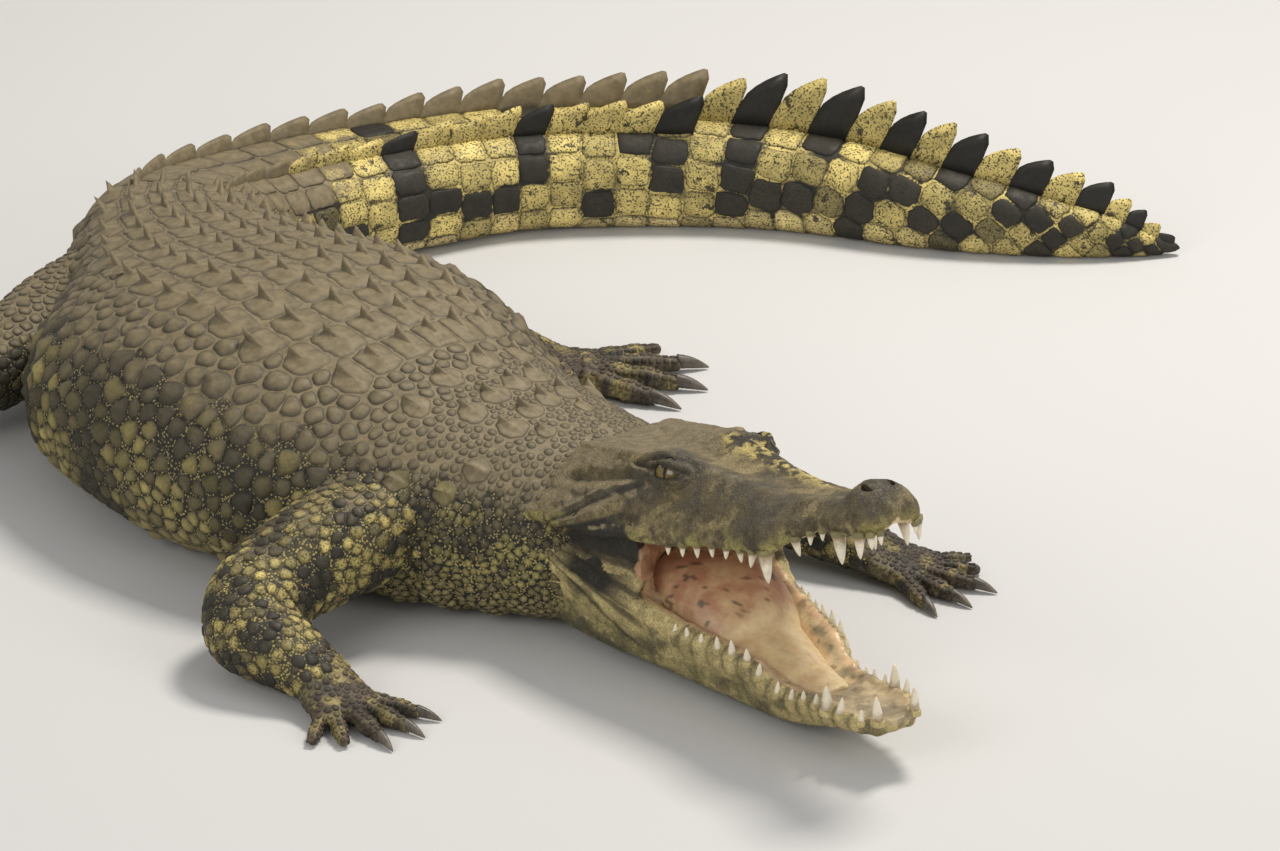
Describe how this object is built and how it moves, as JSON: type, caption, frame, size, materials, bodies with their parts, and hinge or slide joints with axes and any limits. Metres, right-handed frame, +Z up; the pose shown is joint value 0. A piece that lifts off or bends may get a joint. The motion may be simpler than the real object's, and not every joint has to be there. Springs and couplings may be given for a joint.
{
  "type": "nile crocodile",
  "caption": "Nile crocodile lying on its belly with its jaws wide open, its head turned to one side and its long crested tail curved round behind it.",
  "frame": {"origin": "on the floor under the middle of the belly, on the flat the trunk rests on", "axes": "+Z up from the floor, +X and +Y level: the trunk's front points between +X and -Y, and the tail curves round to +X"},
  "size_m": [1.5846, 1.6026, 0.3211],
  "materials": {
    "hide": "dry scaled hide, grey-olive above and yellow-olive at the sides",
    "tail_skin": "scaled hide, yellow with black bands",
    "jaw_skin": "fine scaled hide, pale green-cream, and ivory teeth",
    "foot_skin": "scaled hide, dark with ochre bands",
    "tongue": "moist, orange to cream",
    "eye": "wet gloss, gold-olive with a slit pupil",
    "claw": "worn horn, grey-brown"
  },
  "bodies": {
    "root": {"eye_left": "eye", "eye_right": "eye", "head": "hide", "left_foot": "foot_skin", "left_foot_claw_1": "claw", "left_foot_claw_2": "claw", "left_foot_claw_3": "claw", "left_forearm": "hide", "left_hand": "foot_skin", "left_hand_claw_1": "claw", "left_hand_claw_2": "claw", "left_hand_claw_3": "claw", "left_shin": "hide", "left_thigh": "hide", "left_upper_arm": "hide", "lower_jaw": "jaw_skin", "neck": "hide", "right_foot": "foot_skin", "right_foot_claw_1": "claw", "right_foot_claw_2": "claw", "right_foot_claw_3": "claw", "right_forearm": "hide", "right_hand": "foot_skin", "right_hand_claw_1": "claw", "right_hand_claw_2": "claw", "right_hand_claw_3": "claw", "right_shin": "hide", "right_thigh": "hide", "right_upper_arm": "hide", "tail_base": "tail_skin", "tail_middle": "tail_skin", "tail_tip": "tail_skin", "tongue": "tongue", "trunk_front": "hide", "trunk_rear": "hide"}
  },
  "joints": []
}
